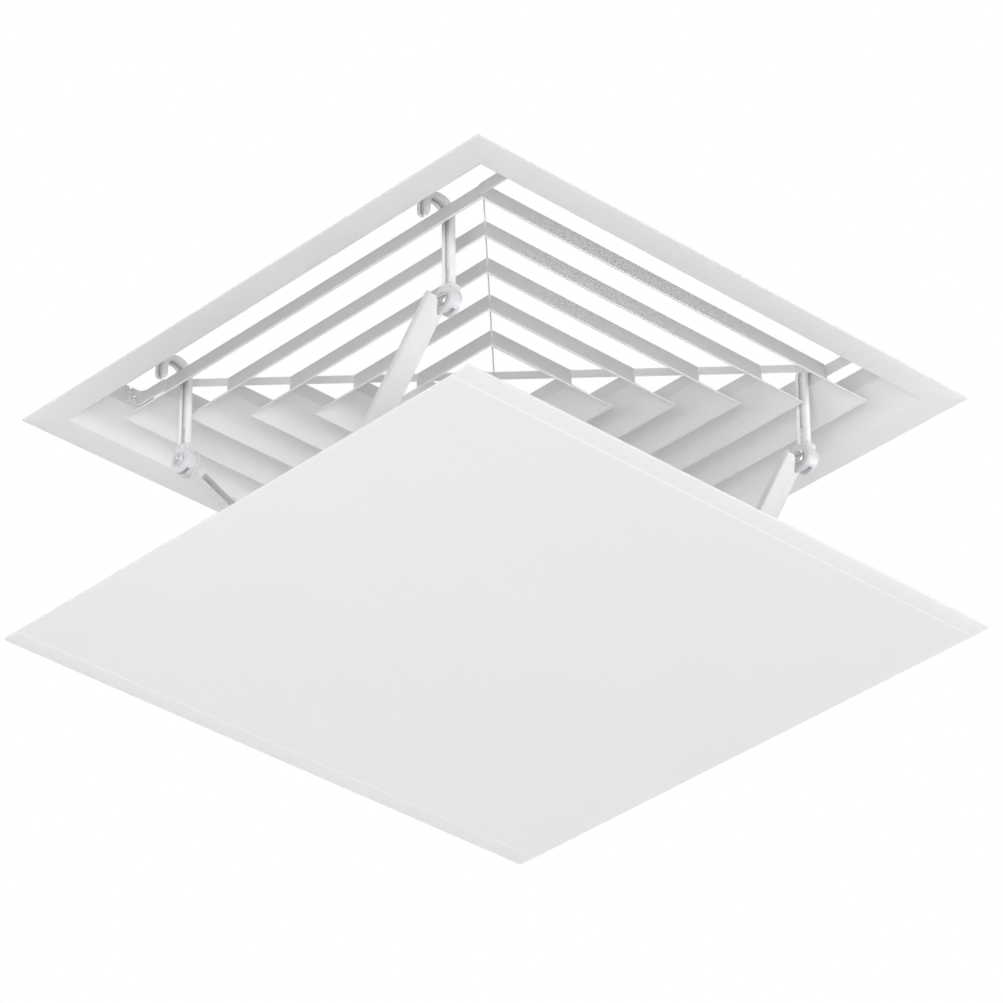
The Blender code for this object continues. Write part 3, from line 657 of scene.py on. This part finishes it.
def hook_rod_mesh(corner):
    joint = JOINTS["clamp_screw_turn_" + corner]["pos_m"]
    kz = joint[2] / MM
    lo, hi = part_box("hook_rod_" + corner)
    zs = FLANGE_Z + 31.8 - kz
    z_end, z_tip = lo.z / MM - kz, FLANGE_Z + 22.0 - kz
    y_mid = joint[1] / MM
    lean = 1 if abs(hi.y / MM - y_mid) > abs(lo.y / MM - y_mid) else -1
    bend = 12.0 + ROD_T / 2
    w, t, b = ROD_W / 2, ROD_T / 2, ROD_RIB
    section = rounded(
        [(-w, -t), (-w + b, -t), (-w + b, -0.6), (w - b, -0.6), (w - b, -t), (w, -t),
         (w, t), (w - b, t), (w - b, 0.6), (-w + b, 0.6), (-w + b, t), (-w, t)],
        [0.7, 0.5, 0.35, 0.35, 0.5, 0.7, 0.7, 0.5, 0.35, 0.35, 0.5, 0.7], 3)
    path = [(0.0, z_end + 0.0, 0.0, 0.72), (0.0, z_end + 0.5, 0.0, 0.9), (0.0, z_end + 1.3, 0.0, 1.0)]
    for k in range(1, 9):
        path.append((0.0, z_end + 1.3 + (zs - z_end - 1.3) * k / 8, 0.0, 1.0))
    steps = 44
    for k in range(1, steps + 1):
        a = math.pi * k / steps
        path.append((bend - bend * math.cos(a), zs + bend * math.sin(a), a, 1.0))
    # the tip narrows to a rounded nose
    length = zs - z_tip
    for k, f in ((0.35, 1.0), (0.6, 0.97), (0.8, 0.86), (0.92, 0.7), (1.0, 0.45)):
        path.append((2 * bend, zs - length * k, math.pi, f))
    bm = bmesh.new()
    rows = []
    for y, z, a, f in path:
        g = 0.55 + 0.45 * f
        rows.append([bm.verts.new((u * f, lean * (y + v * g * math.cos(a)), z - v * g * math.sin(a)))
                     for u, v in section])
    n = len(section)
    for a, b in zip(rows, rows[1:]):
        for i in range(n):
            j = (i + 1) % n
            bm.faces.new((a[i], a[j], b[j], b[i]))
    bm.faces.new(rows[0])
    bm.faces.new(list(reversed(rows[-1])))
    blank = finish_mesh("rod_blank", bm, 0)
    z0, z1, r = FLANGE_Z - 58.0 - kz, FLANGE_Z - 19.0 - kz, 2.3
    slot = prism("rod_slot", arc(0, z0 + r, r, 180, 360, 16) + arc(0, z1 - r, r, 0, 180, 16), -4, 4)
    return work("hook_rod_mesh", blank, [("DIFFERENCE", slot, I4)], smooth=40)


def clamp_mesh():
    w, r, top = 9.3, 12.0, 16.0
    lift = math.degrees(math.acos(w / r))
    outline = arc(0, 0, r, 180 - lift, 360 + lift, 56) + [(w, top - 2), (w - 2, top), (-w + 2, top), (-w, top - 2)]
    half = ROD_T / 2 + 0.3 + 2.2
    blank = prism("clamp_blank", outline, -half, half)
    channel = box_mesh("clamp_channel", -6.8, 6.8, -ROD_T / 2 - 0.3, ROD_T / 2 + 0.3, -40, 40)
    hole = prism("clamp_hole", circle(2.3, 40), -10, 10)
    # finger grooves across both flat sides of the sleeve
    grooves = []
    for k in range(3):
        z = 8.9 + 2.2 * k
        for s in (-1, 1):
            g = prism("grip", circle(0.55, 16, s * (w + 0.15), z), -half - 1, half + 1)
            grooves.append(("DIFFERENCE", g, I4))
    return work("clamp_mesh", blank,
                [("DIFFERENCE", channel, I4), ("DIFFERENCE", hole, I4)] + grooves,
                bevel=0.35, segments=3, limit=40, smooth=45)


def arm_mesh(corner):
    knuckle = Vector(JOINTS["clamp_screw_turn_" + corner]["pos_m"]) / MM
    foot = Vector(JOINTS["panel_level"]["pos_m"]) / MM
    base = Vector(JOINTS["clamp_screw_turn_fr"]["pos_m"]) / MM
    run, drop = base.x - foot.x, base.z - foot.z
    length = math.hypot(run, drop)
    s, c = run / length, drop / length
    mid = foot.y - base.y

    def place(u, v, h):
        return (-s * u - c * v, h, -c * u + s * v)

    lo, hi, R, r = -7.0, -1.0, 13.0, 8.0
    near, far = mid + ARM_W / 2, mid - ARM_W / 2

    def deg(x):
        return math.degrees(math.asin(x))

    b0, b1 = 180 + deg(6.6 / r), 540 + deg(1.0 / r)
    ear_out = arc(0, 0, R, deg(hi / R), 360 + deg(-6.6 / R), 80) + arc(length, 0, r, b0, b1, 60)
    end = (hi - lo - 0.4) / 2
    lip_out = arc(-1.0 + end, lo + 0.4 + end, end, 90, 270, 24) + arc(length, 0, r, b0, b1, 60)
    ear = prism("ear", ear_out, near - 2.0, near, place)
    lip = prism("lip", lip_out, far, far + 2.0, place)
    # the web is flat between narrow raised edges
    half = ARM_W / 2 - 0.5
    web_sec = [(-half, lo), (-half + 1.0, lo), (-half + 1.3, lo + 0.3), (half - 1.3, lo + 0.3),
               (half - 1.0, lo), (half, lo), (half, lo + 1.6), (-half, lo + 1.6)]

    def place_web(a, v, u):
        x, _, z = place(u, v, 0)
        return (x, mid + a, z)

    web = prism("web", web_sec, ARM_TOP + 3.0, length - 12.5, place_web)
    # its top edge slopes up from the ear to the plain side, with soft corners
    u0, u1, y0, y1, q = 13.5, length - 12.5, mid - half, mid + half, 3.0
    plan = rounded(
        [(u1, y0), (u1, y1), (u0, y1), (u0, y1 - 5.0), (ARM_TOP + 6.0, y0 + 10.0),
         (ARM_TOP + 4.0, y0 + 7.0), (ARM_TOP + 4.0, y0)],
        [q, q, q, 1.0, 3.0, 3.0, 3.0], 10)
    plate = prism("web_plan", plan, lo - 2, lo + 4, lambda u, y, v: place(u, v, y))
    web = work("web_cut", web, [("INTERSECT", plate, I4)], smooth=0)
    knuckle_hole = prism("knuckle_hole", circle(2.3, 40), -12, 12)
    foot_hole = prism("foot_hole", circle(3.4, 40), -60, 20)
    # raised rim round the knuckle ear, on its visible side, and a seat round the screw
    rim = prism("rim", circle(R - 0.35, 72), near - 3.1, near - 1.0)
    rim_cut = prism("rim_cut", circle(R - 2.5, 72), near - 5, near - 2.0)
    rim = work("rim_ring", rim, [("DIFFERENCE", rim_cut, I4)], smooth=0)
    return work("arm_mesh", ear,
                [("UNION", web, I4), ("UNION", lip, I4), ("UNION", rim, I4),
                 ("DIFFERENCE", knuckle_hole, I4), ("DIFFERENCE", foot_hole, at(-run, 0, -drop))],
                bevel=0.3, segments=2, limit=40, smooth=45)


def screw_mesh():
    seat = -(ROD_T / 2 + 0.3 + 2.2 + 0.3 + 2.0 + 0.3)
    end = ROD_T / 2 + 0.3 + 2.2 + 0.3 + 3.5 + 1.5
    p = [(0.0, seat - 3.0), (2.6, seat - 2.97), (4.4, seat - 2.72), (5.3, seat - 2.3), (5.8, seat - 1.7),
         (6.0, seat - 1.1), (6.0, seat - 0.25), (5.85, seat), (2.0, seat)]
    # thread crests along the shank
    y = seat + 0.6
    while y < end - 1.0:
        p += [(2.0, y), (1.78, y + 0.2), (2.0, y + 0.4)]
        y += 0.6
    p += [(1.5, end), (0.0, end)]
    blank = turned("screw_blank", p, 64)
    slot = box_mesh("screw_slot", -10, 10, seat - 4, seat - 1.1, -0.85, 0.85)
    knurls = []
    for k in range(16):
        a = 2 * math.pi * k / 16
        knurls.append(("DIFFERENCE",
                       prism("knurl", circle(0.42, 12, 6.2 * math.cos(a), 6.2 * math.sin(a)), seat - 2.0, seat + 0.5),
                       I4))
    return work("screw_mesh", blank, [("DIFFERENCE", slot, I4)] + knurls, smooth=38)


def nut_mesh():
    start = ROD_T / 2 + 0.3 + 2.2 + 0.3
    blank = prism("nut_blank", circle(5.6, 6), start, start + 3.5)
    hole = prism("nut_hole", circle(2.3, 40), 0, 20)
    # chamfer the six points by meeting the hexagon with a turned shape
    cone = turned("nut_cone", [(0.0, start - 1), (4.6, start - 0.9), (5.75, start + 0.35), (5.75, start + 3.15),
                               (4.7, start + 3.7), (0.0, start + 4.5)], 64, 0)
    return work("nut_mesh", blank, [("INTERSECT", cone, I4), ("DIFFERENCE", hole, I4)],
                bevel=0.12, segments=2, limit=30, smooth=40)


def bracket_mesh(low):
    boss_out = arc(0, 0, 7.0, 0, 180, 40) + [(-7.0, low + 1.5), (7.0, low + 1.5)]
    boss = prism("boss", boss_out, -8.6, 8.6)
    base_out = (arc(16, 10, 4, 0, 90, 10) + arc(-16, 10, 4, 90, 180, 10)
                + arc(-16, -10, 4, 180, 270, 10) + arc(16, -10, 4, 270, 360, 10))
    base = prism("base", base_out, low, low + 2.0, along_z)
    hole = prism("hole", circle(2.8, 40), -15, 15)
    ribs = []
    for sx in (-1, 1):
        rib = prism("rib", [(sx * 6.0, low + 1.5), (sx * 15.5, low + 1.5), (sx * 6.0, low + 9.0)], -1.2, 1.2)
        ribs.append(("UNION", rib, I4))
    return work("bracket_mesh", base, [("UNION", boss, I4)] + ribs + [("DIFFERENCE", hole, I4)],
                bevel=0.4, segments=3, limit=40, smooth=45)


def pin_mesh():
    e = ARM_W / 2 + 0.4
    p = [(0.0, -e - 1.8), (2.6, -e - 1.78), (3.6, -e - 1.6), (4.2, -e - 1.2), (4.4, -e - 0.8), (4.4, -e),
         (2.5, -e), (2.5, e), (3.8, e), (3.9, e + 0.15), (3.8, e + 0.6), (3.2, e + 1.4), (2.4, e + 2.1),
         (2.0, e + 2.2), (0.0, e + 2.2)]
    blank = turned("pin_blank", p, 48)
    split = box_mesh("pin_split", -0.5, 0.5, e - 3.0, e + 5, -10, 10)
    return work("pin_mesh", blank, [("DIFFERENCE", split, I4)], smooth=40)


def build_arms():
    clamp, screw, nut = clamp_mesh(), screw_mesh(), nut_mesh()
    arm = arm_mesh("fr")
    foot_z = JOINTS["panel_level"]["pos_m"][2] / MM
    low = span("foot_bracket_fr", 2)[0] - foot_z
    bracket, pin = bracket_mesh(low), pin_mesh()
    for c in CORNERS:
        p = JOINTS["clamp_screw_turn_" + c]["pos_m"]
        turn = Matrix.Rotation(math.pi, 4, "Z") if p[0] < 0 else I4
        m = Matrix.Translation(p) @ turn
        rod = hook_rod_mesh(c)
        piece("rod_" + c, rod, ROD_MAT, "hook_" + c, "hook_rod_" + c, slot="arm_plastic", matrix=Matrix.Translation(p))
        piece("clamp_" + c + "_sleeve", clamp.copy(), NYLON, "clamp_" + c, "rod_clamp_" + c, slot="clamp_plastic", matrix=m)
        piece("clamp_" + c + "_nut", nut.copy(), ZINC, "clamp_" + c, "clamp_nut_" + c, slot="zinc_steel", matrix=m)
        piece("screw_" + c + "_knurled", screw.copy(), ZINC, "screw_" + c, "clamp_screw_" + c, slot="zinc_steel", matrix=m)
        piece("arm_" + c + "_channel", arm.copy(), ARM_MAT, "arm_" + c, "lower_arm_" + c, slot="arm_plastic", matrix=m)
        lo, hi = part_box("foot_bracket_" + c)
        f = Matrix.Translation(((lo.x + hi.x) / 2, (lo.y + hi.y) / 2, foot_z * MM)) @ turn
        piece("foot_" + c, bracket.copy(), ARM_MAT, "panel", "foot_bracket_" + c, slot="arm_plastic", matrix=f)
        piece("pin_" + c, pin.copy(), ZINC, "panel", "foot_pin_" + c, slot="zinc_steel", matrix=f)


# ------------------------------------------------------------------ stage
def build_stage():
    scene = bpy.context.scene
    # pale floor of the room below
    bm = bmesh.new()
    bmesh.ops.create_grid(bm, x_segments=8, y_segments=8, size=6.0)
    mesh = bpy.data.meshes.new("floor")
    bm.to_mesh(mesh)
    bm.free()
    floor = bpy.data.objects.new("floor", mesh)
    floor.location = (0.0, 0.0, -2.75)
    mat, tree, shader = nodes_of("floor_pale")
    shader.inputs["Base Color"].default_value = (0.86, 0.86, 0.86, 1)
    shader.inputs["Roughness"].default_value = 0.9
    # the camera sees the floor evenly pale; the piece above is lit by the plain matt one
    pale = tree.nodes.new("ShaderNodeEmission")
    pale.inputs["Color"].default_value = (1, 1, 1, 1)
    pale.inputs["Strength"].default_value = 0.74
    seen = tree.nodes.new("ShaderNodeLightPath")
    blend = tree.nodes.new("ShaderNodeMixShader")
    tree.links.new(math_node(tree, "MULTIPLY", seen.outputs["Is Camera Ray"], 0.75), blend.inputs["Fac"])
    tree.links.new(shader.outputs[0], blend.inputs[1])
    tree.links.new(pale.outputs[0], blend.inputs[2])
    tree.links.new(blend.outputs[0], tree.nodes["Material Output"].inputs["Surface"])
    mesh.materials.append(mat)
    scene.collection.objects.link(floor)

    world = bpy.data.worlds.new("studio")
    scene.world = world
    world.use_nodes = True
    tree = world.node_tree
    tree.nodes.clear()
    out = tree.nodes.new("ShaderNodeOutputWorld")
    soft = tree.nodes.new("ShaderNodeBackground")
    seen = tree.nodes.new("ShaderNodeBackground")
    path = tree.nodes.new("ShaderNodeLightPath")
    mixer = tree.nodes.new("ShaderNodeMixShader")
    geo = tree.nodes.new("ShaderNodeTexCoord")
    split = tree.nodes.new("ShaderNodeSeparateXYZ")
    tree.links.new(geo.outputs["Generated"], split.inputs[0])
    r = tree.nodes.new("ShaderNodeMapRange")
    r.inputs["From Min"].default_value = -0.6
    r.inputs["From Max"].default_value = 0.8
    r.inputs["To Min"].default_value = WORLD_LOW
    r.inputs["To Max"].default_value = WORLD_HIGH
    tree.links.new(split.outputs["Z"], r.inputs["Value"])
    soft.inputs["Color"].default_value = (1.0, 1.0, 1.0, 1)
    tree.links.new(r.outputs["Result"], soft.inputs["Strength"])
    seen.inputs["Color"].default_value = (1, 1, 1, 1)
    seen.inputs["Strength"].default_value = 1.0
    tree.links.new(path.outputs["Is Camera Ray"], mixer.inputs["Fac"])
    tree.links.new(soft.outputs[0], mixer.inputs[1])
    tree.links.new(seen.outputs[0], mixer.inputs[2])
    tree.links.new(mixer.outputs[0], out.inputs["Surface"])

    def area(name, where, target, size, power):
        light = bpy.data.lights.new(name, "AREA")
        light.shape = "DISK"
        light.size = size
        light.energy = power
        light.color = (1.0, 1.0, 1.0)
        obj = bpy.data.objects.new(name, light)
        obj.location = where
        obj.rotation_euler = (Vector(target) - Vector(where)).to_track_quat("-Z", "Y").to_euler()
        scene.collection.objects.link(obj)
        return obj

    for spec in LIGHTS:
        area(*spec)

    cam = bpy.data.cameras.new("camera")
    cam.sensor_width = 36.0
    cam.lens = 199.38
    cam.clip_start, cam.clip_end = 0.1, 100.0
    obj = bpy.data.objects.new("camera", cam)
    az, roll = math.radians(46.47), math.radians(-0.554)
    back = Vector((0.61703, -0.58614, -0.52508)).normalized()
    right = Vector((math.cos(az), math.sin(az), 0.0))
    up = back.cross(right)
    r2 = math.cos(roll) * right + math.sin(roll) * up
    u2 = -math.sin(roll) * right + math.cos(roll) * up
    rot = Matrix((r2, u2, back)).transposed().to_4x4()
    obj.matrix_world = Matrix.Translation((3.01896, -2.86025, FLANGE_Z * MM - 2.66169)) @ rot
    scene.collection.objects.link(obj)
    scene.camera = obj
    scene.view_settings.view_transform = "Standard"
    scene.view_settings.look = "None"


WORLD_LOW, WORLD_HIGH = 0.6, 0.32
LIGHTS = (
    ("key_front", (1.95, -2.75, -1.7), (0.0, 0.0, 0.15), 2.4, 58.0),
    ("low_front", (-0.2, -2.9, -0.35), (0.0, 0.0, 0.2), 1.6, 15.0),
    ("low_right", (2.9, 0.2, -0.35), (0.0, 0.0, 0.2), 1.6, 11.0),
    ("side_right", (1.5, 1.4, -0.32), (0.0, 0.0, 0.2), 1.2, 15.5),
    ("fill_below", (-1.1, 1.0, -2.2), (0.0, 0.0, 0.1), 2.0, 16.5),
    ("top_soft", (0.0, 0.0, 3.2), (0.0, 0.0, 0.2), 1.6, 42.0),
)

build_frame()
build_core()
build_panel()
build_arms()
build_stage()
